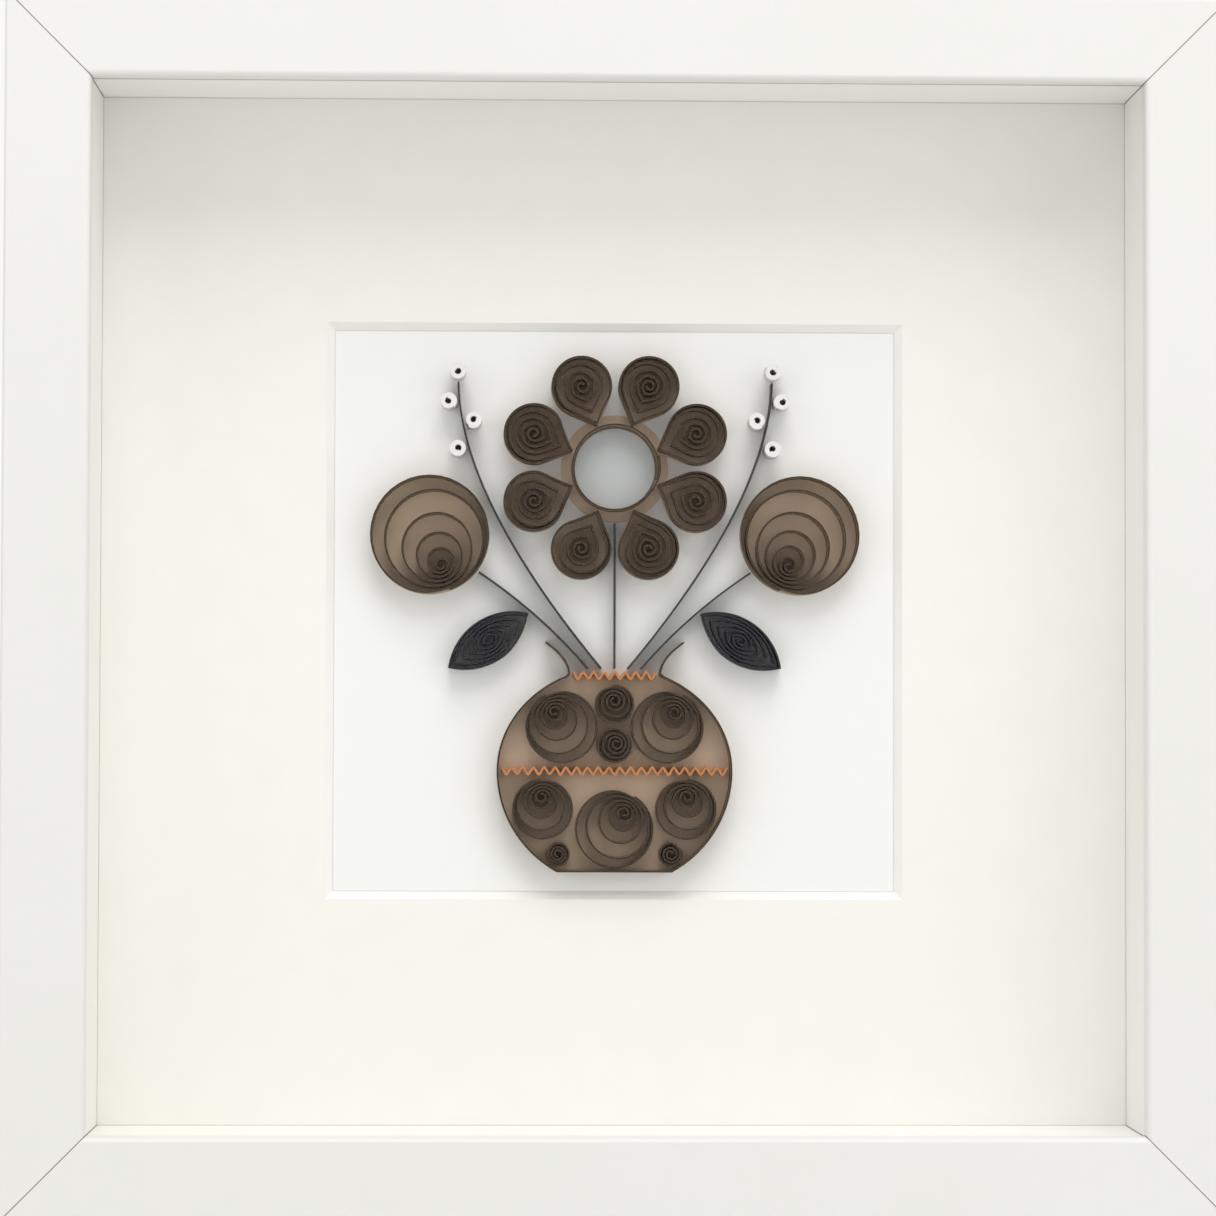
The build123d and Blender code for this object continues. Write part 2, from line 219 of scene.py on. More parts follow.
def use_group(tree, group, **inputs):
    node = tree.nodes.new("ShaderNodeGroup")
    node.node_tree = group
    for label, value in inputs.items():
        if isinstance(value, bpy.types.NodeSocket):
            tree.links.new(value, node.inputs[label])
        else:
            node.inputs[label].default_value = value
    return node.outputs


def bumped(tree, shader, height, strength, distance):
    bump = add(tree, "Bump", ("Height", height), ("Strength", strength), ("Distance", distance))
    tree.links.new(bump.outputs[0], shader.inputs["Normal"])


def shade(*rgb):
    return (*rgb, 1.0)


# %% [markdown]
# ## Paper
#
# Paper, card and mat board are all pressed fibre: close up, their colour is a little cloudy and their
# surface has a fine tooth. Each material could carry its own noise, but one node group gives the same
# fibre to all of them. It reads Object coordinates in metres, so a scale of 1000 makes spots of about a
# millimetre.

# %% The paper fibre group
cloud_to_tooth = 0.06
tone_swing = 4.0
gloss_swing = 0.25

fibre, given, wanted = new_group(
    "paper fibre",
    (("Colour", "NodeSocketColor", shade(0.5, 0.5, 0.5)), ("Scale", "NodeSocketFloat", 2500.0),
     ("Cloud", "NodeSocketFloat", 0.1), ("Roughness", "NodeSocketFloat", 0.85)),
    (("Colour", "NodeSocketColor"), ("Roughness", "NodeSocketFloat"), ("Height", "NodeSocketFloat")),
)
tooth = noise(fibre, given["Scale"], Roughness=0.65)
cloud = noise(fibre, maths(fibre, "MULTIPLY", given["Scale"], cloud_to_tooth))
spots = maths(fibre, "MULTIPLY", maths(fibre, "ADD", tooth, cloud), 0.5)
depth = maths(fibre, "MULTIPLY", maths(fibre, "SUBTRACT", spots, 0.5), given["Cloud"])
level = maths(fibre, "ADD", maths(fibre, "MULTIPLY", depth, tone_swing), 1.0)
fibre.links.new(toned(fibre, given["Colour"], level), wanted["Colour"])
matt = maths(fibre, "MULTIPLY", maths(fibre, "SUBTRACT", tooth, 0.5), gloss_swing)
fibre.links.new(maths(fibre, "ADD", given["Roughness"], matt), wanted["Roughness"])
fibre.links.new(tooth, wanted["Height"])
print("group:", fibre.name, [socket.name for socket in wanted if socket.name])

# %% [markdown]
# A strip of quilling paper has two looks: its dyed faces, and the cut edge that faces the viewer. Two
# materials on each strip would do, but one is enough, because the edge is known by its direction: on the
# finished picture it points out of the card, towards -Y.

# %% Paper finishes
def facing_viewer(tree):
    """1 where the surface points out of the picture, 0 where it stands on edge."""
    links = ((0, add(tree, "TexCoord").outputs["Normal"]), (1, (0.0, -1.0, 0.0)))
    out = add(tree, "VectorMath", *links, operation="DOT_PRODUCT").outputs["Value"]
    return between(tree, out, 0.55, 0.9)


def give_fibre(tree, shader, tooth_strength, tooth_depth, gloss, **inputs):
    """The fibre group with its inputs, linked to the shader."""
    fibres = use_group(tree, fibre, **inputs)
    tree.links.new(fibres["Colour"], shader.inputs["Base Color"])
    tree.links.new(fibres["Roughness"], shader.inputs["Roughness"])
    bumped(tree, shader, fibres["Height"], tooth_strength, tooth_depth * mm)
    shader.inputs["Specular IOR Level"].default_value = gloss


def strip_paper(name, face, edge, cloud=0.12, roughness=0.8, metal=0.0):
    finish, tree, shader = new_finish(name)
    colour = mixed(tree, facing_viewer(tree), shade(*face), shade(*edge))
    give_fibre(tree, shader, tooth_strength=0.25, tooth_depth=0.04, gloss=0.3,
               Colour=colour, Scale=2600.0, Cloud=cloud, Roughness=roughness)
    shader.inputs["Metallic"].default_value = metal
    return finish


brown_strip = strip_paper("brown quilling paper", (0.235, 0.155, 0.096), (0.032, 0.022, 0.014))
slate_strip = strip_paper("slate quilling paper", (0.085, 0.086, 0.078), (0.04, 0.04, 0.037))
black_strip = strip_paper("black quilling paper", (0.026, 0.028, 0.034), (0.017, 0.018, 0.023))
white_strip = strip_paper("white quilling paper", (0.72, 0.70, 0.68), (0.78, 0.77, 0.76), cloud=0.05)
copper_strip = strip_paper("copper quilling paper", (0.60, 0.25, 0.085), (0.50, 0.20, 0.07),
                           roughness=0.45, metal=0.35)
taupe_card = strip_paper("taupe card", (0.50, 0.39, 0.295), (0.68, 0.535, 0.405), cloud=0.1)
pale_card = strip_paper("pale grey card", (0.46, 0.475, 0.48), (0.50, 0.52, 0.53), cloud=0.05)
papers = (brown_strip, slate_strip, black_strip, white_strip, copper_strip, taupe_card, pale_card)
print("paper finishes:", [paper_finish.name for paper_finish in papers])

# %% [markdown]
# ## Cards and boards of the picture
#
# The mat is a board with a coloured paper face and a white core. Its window is cut at a slant, so the
# core shows as a bright line all round the picture. The white card behind it carries the quilling. Where
# a board meets what lies on it, the real one has a hair of deep shadow. Such a gap is too fine to model,
# so the material darkens that hair.

# %% Mat and card
centre_z = (cad_box[0][2] + cad_box[1][2]) / 2
spacer_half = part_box("spacer_right")[0][0]
window_half = 59.1 * mm
shadow_hair = 0.25 * mm
shadow_tone = shade(0.42, 0.38, 0.33)


def from_middle(tree):
    """Distances from the frame's middle across and up, both as positive numbers, and the depth along Y."""
    x, y, z = add(tree, "SeparateXYZ", (0, add(tree, "TexCoord").outputs["Object"])).outputs
    return maths(tree, "ABSOLUTE", x), maths(tree, "ABSOLUTE", maths(tree, "SUBTRACT", z, centre_z)), y


def with_shadow_hair(tree, colour, half, strength):
    """The colour, darkened just inside a square of this half width."""
    outermost = maths(tree, "MAXIMUM", *from_middle(tree)[:2])
    hair = between(tree, outermost, half - shadow_hair, half, 0.0, strength)
    return mixed(tree, hair, colour, shadow_tone)


def mat_finish():
    finish, tree, shader = new_finish("cream mat board")
    colour = mixed(tree, facing_viewer(tree), shade(0.91, 0.905, 0.89), shade(0.89, 0.875, 0.835))
    colour = with_shadow_hair(tree, colour, spacer_half, strength=0.6)
    give_fibre(tree, shader, tooth_strength=0.3, tooth_depth=0.05, gloss=0.25,
               Colour=colour, Scale=1900.0, Cloud=0.022, Roughness=0.9)
    return finish


def card_finish():
    finish, tree, shader = new_finish("white card")
    colour = with_shadow_hair(tree, shade(0.88, 0.877, 0.868), window_half, strength=0.5)
    give_fibre(tree, shader, tooth_strength=0.2, tooth_depth=0.03, gloss=0.25,
               Colour=colour, Scale=3200.0, Cloud=0.012, Roughness=0.88)
    return finish


dress("window_mat", mat_finish(), round_width=0.08)
dress("picture_card", card_finish(), round_width=0.1)

# %% [markdown]
# ## Frame rails and spacers
#
# The rails are fibreboard wrapped in white foil. The foil is almost even: it has a fine peel, and its
# tint and gloss change slowly over the frame. The raw board is a felt of shreds with darker flecks. Both
# could be drawn as pictures, but noise has no seams and no end, and rails, spacers and back board share
# it as two groups.

# %% Foil and fibreboard groups
peel_scale, sweep_scale, worn_swing = 900.0, 14.0, 0.3
shred_scale, fleck_scale = 700.0, 420.0
shred_share, fleck_share = 1.4, 0.6

foil, given, wanted = new_group(
    "white foil",
    (("Colour", "NodeSocketColor", shade(0.85, 0.85, 0.84)), ("Roughness", "NodeSocketFloat", 0.4)),
    (("Colour", "NodeSocketColor"), ("Roughness", "NodeSocketFloat"), ("Height", "NodeSocketFloat")),
)
peel = noise(foil, peel_scale, detail=3.0, Roughness=0.6)
sweep = noise(foil, sweep_scale, detail=3.0)
tint = mixed(foil, between(foil, sweep, 0.35, 0.65), shade(0.985, 0.985, 0.975), shade(1.0, 1.0, 1.0))
foil.links.new(mixed(foil, 1.0, given["Colour"], tint, "MULTIPLY"), wanted["Colour"])
worn = maths(foil, "MULTIPLY", maths(foil, "SUBTRACT", sweep, 0.5), worn_swing)
foil.links.new(maths(foil, "ADD", given["Roughness"], worn), wanted["Roughness"])
foil.links.new(peel, wanted["Height"])

board, given, wanted = new_group(
    "fibreboard",
    (("Colour", "NodeSocketColor", shade(0.4, 0.28, 0.17)), ("Contrast", "NodeSocketFloat", 0.5)),
    (("Colour", "NodeSocketColor"), ("Height", "NodeSocketFloat")),
)
shreds = noise(board, shred_scale, detail=6.0, Roughness=0.7, Distortion=1.5)
where = add(board, "TexCoord").outputs["Object"]
flecks = add(board, "TexVoronoi", ("Vector", where), ("Scale", fleck_scale)).outputs["Distance"]
shreds = maths(board, "MULTIPLY", shreds, shred_share)
grain = maths(board, "ADD", shreds, maths(board, "MULTIPLY", flecks, fleck_share))
depth = maths(board, "MULTIPLY", maths(board, "SUBTRACT", grain, 1.0), given["Contrast"])
board.links.new(toned(board, given["Colour"], maths(board, "ADD", depth, 1.0)), wanted["Colour"])
board.links.new(grain, wanted["Height"])
print("groups:", foil.name, "and", board.name)

# %% [markdown]
# The foil covers the rails' face, lip and outer sides, and leaves the back and the rebate raw. Foil and
# raw board could be two materials on picked faces, but one material that asks how deep and how far out a
# point lies needs no picking. At each mitre two foiled ends meet, and the brown board shows through as a
# hairline: a small round on the rails' ends opens it, and the material darkens only a hair on each side.

# %% Rails
sides = ("bottom", "left", "top", "right")
half_side = (cad_box[1][0] - cad_box[0][0]) / 2
foil_wrap = 0.7 * mm
lip_margin = 0.2 * mm
raw_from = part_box("glazing_sheet")[0][1] + lip_margin
raw_matt = 0.5
mitre_hair = 0.11 * mm
foil_tooth, foil_tooth_depth = 0.12, 0.05 * mm


def mitre_line(tree, across, up, strength):
    """A hair along the mitres, where a point lies as far across as up."""
    off_mitre = maths(tree, "ABSOLUTE", maths(tree, "SUBTRACT", across, up))
    return between(tree, off_mitre, mitre_hair, 2 * mitre_hair, strength, 0.0)


def rail_foil():
    finish, tree, shader = new_finish("white foil on rails")
    across, up, depth = from_middle(tree)
    foiled = use_group(tree, foil, Colour=shade(0.80, 0.80, 0.785), Roughness=0.42)
    raw = use_group(tree, board, Colour=shade(0.42, 0.29, 0.175), Contrast=0.55)
    behind = maths(tree, "GREATER_THAN", depth, raw_from)
    inside = maths(tree, "LESS_THAN", maths(tree, "MAXIMUM", across, up), half_side - foil_wrap)
    is_raw = maths(tree, "MULTIPLY", behind, inside)
    colour = mixed(tree, is_raw, foiled["Colour"], raw["Colour"])
    mitre = mitre_line(tree, across, up, strength=0.8)
    colour = mixed(tree, mitre, colour, shade(0.25, 0.205, 0.155))
    tree.links.new(colour, shader.inputs["Base Color"])
    roughness = maths(tree, "ADD", foiled["Roughness"], maths(tree, "MULTIPLY", is_raw, raw_matt))
    tree.links.new(roughness, shader.inputs["Roughness"])
    height = maths(tree, "ADD", foiled["Height"], maths(tree, "MULTIPLY", is_raw, raw["Height"]))
    bumped(tree, shader, height, foil_tooth, foil_tooth_depth)
    return finish


rail_finish = rail_foil()
for side in sides:
    dress("frame_rail_" + side, rail_finish, round_width=0.14)

# %% [markdown]
# The spacers are four foiled strips that hold the mat well behind the glass and make the box deep. They
# are cut to a mitre too. At the top one sees from below into the joint between the lip and the spacer,
# which lies in shadow as a thin grey line. That shadow is painted shade: the material darkens a band
# along the top spacer's front edge, found by depth.

# %% Spacers
spacer_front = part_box("spacer_top")[0][1]
# Depth of the painted seam shade behind the spacer's front edge, and how far it fades out
seam_shade_depth = 1.9 * mm
seam_shade_fade = 1.2


def spacer_foil(name, seam_shade_strength):
    finish, tree, shader = new_finish(name)
    across, up, depth = from_middle(tree)
    foiled = use_group(tree, foil, Colour=shade(0.93, 0.925, 0.905), Roughness=0.5)
    # Painted shade: a grey band along the front edge, where the joint under the lip lies in shadow
    seam_shade_end = spacer_front + seam_shade_fade * seam_shade_depth
    painted_seam_shade = between(tree, depth, spacer_front + seam_shade_depth, seam_shade_end, seam_shade_strength, 0.0)
    # The line holds the painted seam shade together with the mitre's dark joint
    line = maths(tree, "MAXIMUM", painted_seam_shade, mitre_line(tree, across, up, strength=0.7))
    colour = mixed(tree, line, foiled["Colour"], shade(0.25, 0.225, 0.195))
    tree.links.new(colour, shader.inputs["Base Color"])
    tree.links.new(foiled["Roughness"], shader.inputs["Roughness"])
    bumped(tree, shader, foiled["Height"], foil_tooth, foil_tooth_depth)
    return finish


spacer_finish = spacer_foil("white foil on spacers", seam_shade_strength=0.0)
# Only the top spacer gets the painted seam shade, because only there one looks up into the shaded joint
top_finish_painted_shade = spacer_foil("white foil on top spacer with painted shade", seam_shade_strength=0.8)
for side in sides:
    finish = top_finish_painted_shade if side == "top" else spacer_finish
    dress("spacer_" + side, finish, round_width=0.22)

# %% [markdown]
# ## Glazing
#
# The pane has to be clear for the lamps as well as for the eye. Plain glass would mirror the pale sky as
# a grey haze and cost much light. So its ray visibility lets light and shadows pass as if it weren't
# there, and the eye meets a sheet with a low refractive index, whose mirror stays faint.

# %% Clear glass
def clear_glass():
    finish, tree, shader = new_finish("clear glass")
    shader.inputs["Base Color"].default_value = shade(0.985, 0.995, 0.99)
    shader.inputs["Roughness"].default_value = 0.0
    shader.inputs["IOR"].default_value = 1.12
    shader.inputs["Transmission Weight"].default_value = 1.0
    passing = add(tree, "BsdfTransparent")
    shadow = add(tree, "LightPath").outputs["Is Shadow Ray"]
    both = add(tree, "MixShader", (0, shadow), (1, shader.outputs[0]), (2, passing.outputs[0]))
    tree.links.new(both.outputs[0], tree.nodes["Material Output"].inputs["Surface"])
    return finish


pane = dress("glazing_sheet", clear_glass(), round_width=0.2)
pane.visible_shadow = False
pane.visible_diffuse = False
pane.visible_glossy = False

# %% [markdown]
# ## Back board and fastenings
#
# From behind one sees a brown hardboard sheet, held in by eight flat steel tabs, and a toothed hanger
# that is riveted to it. Bent nails hold the mitres. The board shares its shreds with the rails' raw back
# through the fibreboard group, and the zinc on the steel is dull and a little cloudy.

# %% Hardboard and zinc
def hardboard_finish():
    finish, tree, shader = new_finish("brown hardboard")
    raw = use_group(tree, board, Colour=shade(0.27, 0.165, 0.095), Contrast=0.6)
    tree.links.new(raw["Colour"], shader.inputs["Base Color"])
    shader.inputs["Roughness"].default_value = 0.75
    bumped(tree, shader, raw["Height"], strength=0.3, distance=0.08 * mm)
    return finish


zinc_cloud_scale, scratch_scale = 380.0, 2600.0


def zinc_finish():
    finish, tree, shader = new_finish("zinc plated steel")
    cloudy = noise(tree, zinc_cloud_scale, detail=4.0)
    colour = mixed(tree, between(tree, cloudy, 0.3, 0.7), shade(0.46, 0.46, 0.45), shade(0.66, 0.66, 0.65))
    tree.links.new(colour, shader.inputs["Base Color"])
    tree.links.new(between(tree, cloudy, 0.3, 0.7, 0.45, 0.28), shader.inputs["Roughness"])
    shader.inputs["Metallic"].default_value = 1.0
    scratches = noise(tree, scratch_scale, detail=3.0)
    bumped(tree, shader, scratches, strength=0.08, distance=0.03 * mm)
    return finish


dress("back_board", hardboard_finish(), round_width=0.15)
zinc = zinc_finish()
steel_rounds = {
    "retaining_tabs": 0.12,
    "sawtooth_hanger": 0.1,
    "hanger_rivets": 0.3,
    "corner_v_nails": 0.06,
}
for node, round_width in steel_rounds.items():
    dress(node, zinc, round_width, segments=3)

# %% [markdown]
# ## Rolling a strip
#
# A quiller cuts a strip, rolls it round a needle, lets it spring open against a ring and glues down its
# end. Here the strip is a grid primitive with one column for each step of the roll: its points are moved
# along the path, then Solidify gives it the thickness of the paper and a fine bevel softens the cut
# edges. A curve with a bevel would give a round wire, and the grid keeps the flat paper and its straight
# cut edge. From here on paths are in millimetres on the picture, with u to the right and v up from its
# middle.

# %% Cut a strip and bend it along a path
card_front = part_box("picture_card")[0][1]
paper = 0.38
cut_round = 0.05
# Two ripples that keep a cut edge from being quite straight, per millimetre across and up
cut_ripples = ((0.9, 1.7), (-1.1, 2.3))


def on_card(u, v, lift):
    """A place on the picture: millimetres to the right, up and out from the middle of the card."""
    return Vector((u * mm, card_front - lift * mm, centre_z + v * mm))


def stands(node):
    """How high a node's solid stands, and how far its foot lies in front of the card, in millimetres."""
    low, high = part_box(node)
    return (high.y - low.y) / mm, (card_front - high.y) / mm


def named_after(node):
    """The new primitive, named after the node that it stands for."""
    piece = bpy.context.object
    piece.name = node + "_dressed"
    piece.data.name = node + "_dressed"
    return piece


def turn_outwards(piece):
    pick(piece)
    bpy.ops.object.mode_set(mode="EDIT")
    bpy.ops.mesh.select_all(action="SELECT")
    bpy.ops.mesh.normals_make_consistent(inside=False)
    bpy.ops.object.mode_set(mode="OBJECT")


def bend_strip(node, path, finish, wave=0.05, thickness=paper):
    """A strip on edge along a path, as high as its solid, with a cut edge that waves a little."""
    height, lift = stands(node)
    last = len(path) - 1
    let_go()
    bpy.ops.mesh.primitive_grid_add(x_subdivisions=last, y_subdivisions=1, size=1.0)
    strip = named_after(node)
    for point in strip.data.vertices:
        column = round((point.co.x + 0.5) * last)
        rise = point.co.y + 0.5
        u, v = path[column]
        uneven = wave * sum(sin(across * u + up * v) - 1 for across, up in cut_ripples)
        point.co = on_card(u, v, lift + rise * (height + uneven))
    run_modifier(strip, "SOLIDIFY", thickness=thickness * mm, offset=0.0, use_even_offset=True)
    soften(strip, cut_round * mm, segments=1, angle=50)
    turn_outwards(strip)
    smooth(strip)
    place(strip, node, finish)
    print(node, "faces:", len(strip.data.polygons))


print("card front at y =", round(card_front, 4), "m")

# %% [markdown]
# Every coil follows one rule. From its core, which sits off to one side, the strip turns outwards. A
# rolled strip springs open from the outside in, so the turns lie close at the heart and take larger and
# larger shares of the way to the outline. The last turn then lies along the outline itself. The outline
# is given as its distance from the core in each direction, so the same rule rolls round coils, teardrops
# and leaves.

# %% The path of a rolled coil
core = 0.5
core_shift = 0.8
heart_pitch = 0.75
glue = 0.03
lap = paper + glue
turn_room = 0.6
half_strip = 0.2
steps_in_turn = 56
rise_steps = steps_in_turn / 5


def eased(share):
    """A share held between 0 and 1, with a soft start and end."""
    share = min(1, max(0, share))
    return share * share * (3 - 2 * share)


def rolled(reach, turns, join=0.0, spring=1.8):
    """Out from the core for some turns, then once along the outline, from the join back to the join."""
    loose = round(turns * steps_in_turn)
    path = []
    for i in range(loose + steps_in_turn + 1):
        angle = join + (i - loose) * 2 * pi / steps_in_turn
        room = reach(angle) - lap - core - heart_pitch * turns
        radius = core + heart_pitch * i / steps_in_turn + room * min(1, i / loose) ** spring
        if i > loose:
            radius = reach(angle) - lap * (1 - eased((i - loose) / rise_steps))
        path.append((radius * cos(angle), radius * sin(angle)))
    return path


def placed(path, u, v, turn=0.0, mirror=False):
    """A path turned by degrees, mirrored left to right if asked, and moved to its place."""
    c, s = cos(radians(turn)), sin(radians(turn))
    way = -1 if mirror else 1
    return [(u + way * (c * x - s * y), v + s * x + c * y) for x, y in path]


def round_coil(radius, solid_turns, lean, turns):
    """A round coil whose core is pushed off towards the lean angle, as far as its solid's core is."""
    outer = radius - half_strip
    room = outer - turn_room - core
    shift = core_shift * (room - min(solid_turns, room / turn_room) * turn_room)
    lean = radians(lean)

    def reach(angle):
        return sqrt(outer**2 - (shift * sin(angle - lean)) ** 2) - shift * cos(angle - lean)

    return placed(rolled(reach, turns, lean), shift * cos(lean), shift * sin(lean))


print("steps in a turn:", steps_in_turn, "heart pitch:", heart_pitch, "mm")

# %% [markdown]
# ## Vase
#
# The vase is one long strip bent to an outline: an elliptic body, a flat foot and a flared mouth. A taupe
# card lies inside it as a floor. The floor could be a cube cut to shape, but a filled circle whose points
# are moved to the outline and extruded needs no cutting.

# %% Vase wall and floor
base_v = (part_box("vase_wall")[0].z - centre_z) / mm + half_strip
belly_level, neck_level, vase_top = 21.0, 41.0, 48.0
base_half, belly_half, neck_half, rim_half = 12.0, 24.5, 9.5, 14.5
foot_steps = 16
floor_round = 0.08


def half_width(level):
    """The vase's half width at a level above its foot."""
    if level > neck_level:
        return neck_half + (rim_half - neck_half) * ((level - neck_level) / (vase_top - neck_level)) ** 2
    end_half, end_level = (base_half, 0.0) if level < belly_level else (neck_half, neck_level)
    tall = abs(end_level - belly_level) / sqrt(1 - (end_half / belly_half) ** 2)
    return belly_half * sqrt(1 - ((level - belly_level) / tall) ** 2)


def vase_side(top, count=72):
    """Points up the vase's right side."""
    levels = [top * i / count for i in range(count + 1)]
    return [(half_width(level), base_v + level) for level in levels]


def vase_outline(top, inset=0.0):
    """Down the left side, along the foot and up the right side, all moved inwards by the inset."""
    side = [(u - inset, v) for u, v in vase_side(top)]
    side[0] = (side[0][0], side[0][1] + inset)
    base = [(base_half * (2 * i / foot_steps - 1), base_v + inset) for i in range(1, foot_steps)]
    return [(-u, v) for u, v in reversed(side)] + base + side


def cut_card(node, outline, finish):
    """A flat piece of card, cut to an outline, as thick as its solid."""
    thickness, lift = stands(node)
    let_go()
    bpy.ops.mesh.primitive_circle_add(vertices=len(outline), radius=1.0, fill_type="NGON")
    card = named_after(node)
    for point, (u, v) in zip(card.data.vertices, outline):
        point.co = on_card(u, v, lift)
    pick(card)
    bpy.ops.object.mode_set(mode="EDIT")
    bpy.ops.mesh.select_all(action="SELECT")
    bpy.ops.mesh.extrude_region_move(TRANSFORM_OT_translate={"value": (0, -thickness * mm, 0)})
    turn_outwards(card)
    soften(card, floor_round * mm, angle=50)
    smooth(card)
    place(card, node, finish)
    print(node, "faces:", len(card.data.polygons))


bend_strip("vase_wall", vase_outline(vase_top), brown_strip)
cut_card("vase_floor", vase_outline(neck_level, half_strip), taupe_card)

# %% [markdown]
# Nine loose coils fill the vase. Each has its place as a share of the vase's width and height there, and
# opens until it meets the wall, a band, the foot or another coil, as a maker would let it. The coils on
# the left mirror those on the right, with a little more of a turn, because no two rolled strips come out
# the same.

# %% Coils in the vase
crimp_swing = 1.6
band_half = crimp_swing / 2 + 2 * half_strip
coil_gap, coil_limit = 0.4, 8.4
core_turn = 137.5
coil_solid_turns = 3.0
hand_play = 0.3
# Places below and above the belly band: share of the half width there, share of the height, turns
lower_coils = ((0.0, 0.42, 4.5), (0.65, 0.62, 3.75), (0.70, 0.17, 2))
upper_coils = ((0.50, 0.46, 4.25), (0.0, 0.27, 3), (0.0, 0.70, 3))
fine_side = vase_side(vase_top, count=480)


def room_for(u, level, others):
    """The largest radius that leaves a gap to the wall, the bands, the foot and the other coils."""
    wall = min(hypot(u - x, base_v + level - v) for x, v in fine_side) - half_strip
    bands = min(abs(level - belly_level), abs(neck_level - level)) - band_half
    coils_near = [hypot(u - x, level - h) - radius for x, h, radius in others]
    return min([wall, bands, level - half_strip, coil_limit + coil_gap, *coils_near]) - coil_gap


coils = []
for places, low, high in ((lower_coils, 0.0, belly_level), (upper_coils, belly_level, neck_level)):
    for across, up, turns in places:
        level = low + up * (high - low)
        u = across * half_width(level)
        radius = room_for(u, level, coils)
        for mirror in (False, True) if across else (False,):
            coils.append((-u if mirror else u, level, radius))
            play = hand_play if mirror else 0
            path = round_coil(radius, coil_solid_turns, core_turn * up, turns + play)
            path = placed(path, coils[-1][0], base_v + level, mirror=mirror)
            bend_strip(f"vase_coil_{len(coils)}", path, brown_strip)

# %% [markdown]
# Two copper strips cross the vase. A crimping tool with toothed wheels folds them to a zigzag. Straight
# lines with hard corners would look cut from tin, so the path is a wave with rounded folds, a little more
# pointed than a sine, and its swing changes slowly along the strip.

# %% Crimped copper bands
crimp_pitch = 2.2
fold_steps, fold_point = 6, 0.2
swing_play, swing_beat = 0.1, 0.31
glue_gap = 0.3
band_paper = 0.5


def crimped(level):
    """A zigzag with rounded folds, from wall to wall."""
    narrowest = min(half_width(level + off) for off in (-band_half, 0, band_half))
    half = narrowest - 2 * half_strip - glue_gap
    count = 2 * int(2 * half / crimp_pitch) * fold_steps
    path = []
    for i in range(count + 1):
        phase = pi * i / fold_steps
        wave = (1 - fold_point) * cos(phase) + fold_point * cos(phase) ** 3
        swing = crimp_swing / 2 * (1 - swing_play + swing_play * sin(swing_beat * i))
        path.append((half * (2 * i / count - 1), base_v + level + swing * wave))
    return path


for node, level in (("belly_band", belly_level), ("neck_band", neck_level)):
    bend_strip(node, crimped(level), copper_strip, thickness=band_paper)

# %% [markdown]
# ## Main bloom
#
# Eight teardrop coils stand round a ring on a scalloped card. A teardrop is a loose coil that is pinched
# on one side, so every turn inside it comes to the same point. It could be a round coil that is pulled to
# a tip, but the rule for coils already takes any outline, so the teardrop's outline is all it needs.

# %% Petals
def middle_of(node):
    """The middle of a node's solid on the picture."""
    low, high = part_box(node)
    return (low.x + high.x) / 2 / mm, ((low.z + high.z) / 2 - centre_z) / mm


bloom_v = middle_of("bloom_floor")[1]
ring_radius = 9.0
petal_count = 8
petal_length, petal_radius = 15.0, 6.2
petal_turns, petal_spring = 4, 1.8
turns_beat, spring_beat = 2.4, 1.7
petal_tip = ring_radius + 2 * half_strip + glue_gap
petal_far = petal_tip + petal_length - petal_radius


def petal_reach(angle):
    """A petal's outline, seen from the middle of its round end, with its tip at the angle pi."""
    off = abs((angle + pi) % (2 * pi) - pi) - (pi - acos(petal_radius / (petal_length - petal_radius)))
    return petal_radius / cos(off) if off > 0 else petal_radius


for number in range(petal_count):
    turns = petal_turns + hand_play * sin(turns_beat * number)
    spring = petal_spring + hand_play * sin(spring_beat * number)
    turn = 360 * (number + 0.5) / petal_count
    u, v = petal_far * cos(radians(turn)), bloom_v + petal_far * sin(radians(turn))
    path = placed(rolled(petal_reach, turns, pi, spring), u, v, turn)
    bend_strip(f"petal_{number + 1}", path, brown_strip)

# %% [markdown]
# The card under the bloom follows each petal with an arc and two straight sides, and the hub's rim
# between two petals. The ring could be a tube, but it is one turn of paper, and its end is glued over its
# start. A pale disc lies in it.

# %% Scalloped card, ring and disc
hub_margin = 1.6
hub_radius = petal_tip + hub_margin
arc_steps, rim_steps = 20, 8
ring_steps, ring_start = 96, -0.25
ring_glue = 0.02
ring_lap, lap_steps, lap_lead = paper + ring_glue, 8, 6


def scallops():
    """Round the bloom: each petal's sides and round end, then the hub's rim as far as the next petal."""
    radius = petal_radius + half_strip
    slant = asin(petal_radius / (petal_length - petal_radius))
    tip = petal_far - radius / sin(slant)
    run = -tip * cos(slant) + sqrt(hub_radius**2 - (tip * sin(slant)) ** 2)
    hub_angle = asin(run * sin(slant) / hub_radius)
    rim_angle = 2 * pi / petal_count - 2 * hub_angle
    line = []
    for i in range(2 * arc_steps + 1):
        swing = (pi / 2 + slant) * (i / arc_steps - 1)
        line.append((petal_far + radius * cos(swing), radius * sin(swing)))
    for i in range(rim_steps + 1):
        angle = hub_angle + rim_angle * i / rim_steps
        line.append((hub_radius * cos(angle), hub_radius * sin(angle)))
    outline = []
    for number in range(petal_count):
        outline += placed(line, 0, bloom_v, 360 * (number + 0.5) / petal_count)
    return outline


def circle(radius, u, v, count=96):
    angles = [2 * pi * i / count for i in range(count)]
    return [(u + radius * cos(angle), v + radius * sin(angle)) for angle in angles]


